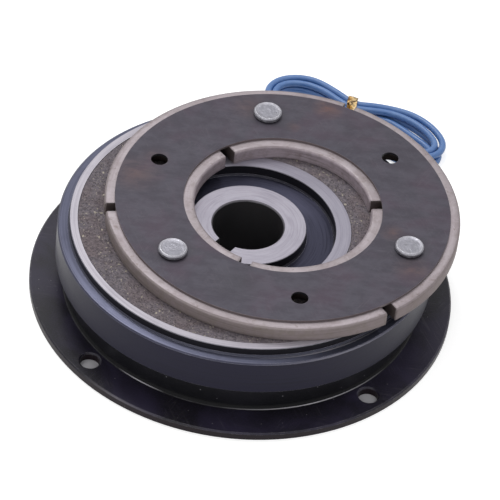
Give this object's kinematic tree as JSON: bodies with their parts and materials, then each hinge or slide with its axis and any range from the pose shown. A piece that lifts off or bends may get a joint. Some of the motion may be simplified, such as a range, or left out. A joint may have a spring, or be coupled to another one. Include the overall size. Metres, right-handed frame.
{
  "type": "flange-mounted electromagnetic clutch brake unit",
  "caption": "Flange-mounted electromagnetic clutch brake unit with a keyed rotor over a fixed field coil and a loose ring-shaped armature with a spring plate.",
  "frame": {"origin": "centre of the mounting flange's back face, on the shaft axis", "axes": "+Z along the shaft axis, from the mounting face towards the rotor's friction face; +Y towards the side of the lead wires"},
  "size_m": [0.15, 0.1931, 0.0393],
  "materials": {
    "flange_black": "black paint, satin",
    "yoke_black": "black oxide, satin",
    "bobbin_nylon": "moulded nylon",
    "magnet_wire": "enamelled copper wire",
    "insulating_tape": "varnished tape",
    "splice_sleeving": "varnished glass sleeving",
    "solder": "tinned and soldered copper",
    "casting_resin": "cast epoxy",
    "grommet_rubber": "moulded rubber",
    "lead_insulation": "extruded vinyl, blue",
    "gold_tie": "gold twist tie",
    "rotor_steel": "black oxide with ground bright pole faces and cup rim",
    "lining_compound": "moulded friction compound, speckled",
    "armature_steel": "ground steel",
    "spring_steel": "blued spring steel with heat tints",
    "rivet_steel": "zinc-plated steel"
  },
  "bodies": {
    "stator": {"mounting_flange": "flange_black", "field_yoke": "yoke_black", "coil_bobbin": "bobbin_nylon", "coil_winding": "magnet_wire", "coil_tape": "insulating_tape", "splice_sleeves": "splice_sleeving", "splice_joints": "solder", "channel_resin": "casting_resin", "lead_grommet": "grommet_rubber", "lead_wire_left": "lead_insulation", "lead_wire_right": "lead_insulation", "wire_hank": "lead_insulation", "twist_tie": "gold_tie"},
    "rotor": {"rotor": "rotor_steel", "friction_lining": "lining_compound", "armature_plate": "armature_steel", "spring_plate": "spring_steel", "armature_rivets": "rivet_steel"}
  },
  "joints": [
    {"name": "rotor_spin", "type": "hinge", "parent": "stator", "child": "rotor", "pos_m": [0, 0, 0.016], "axis": [0, 0, 1], "continuous": true}
  ]
}
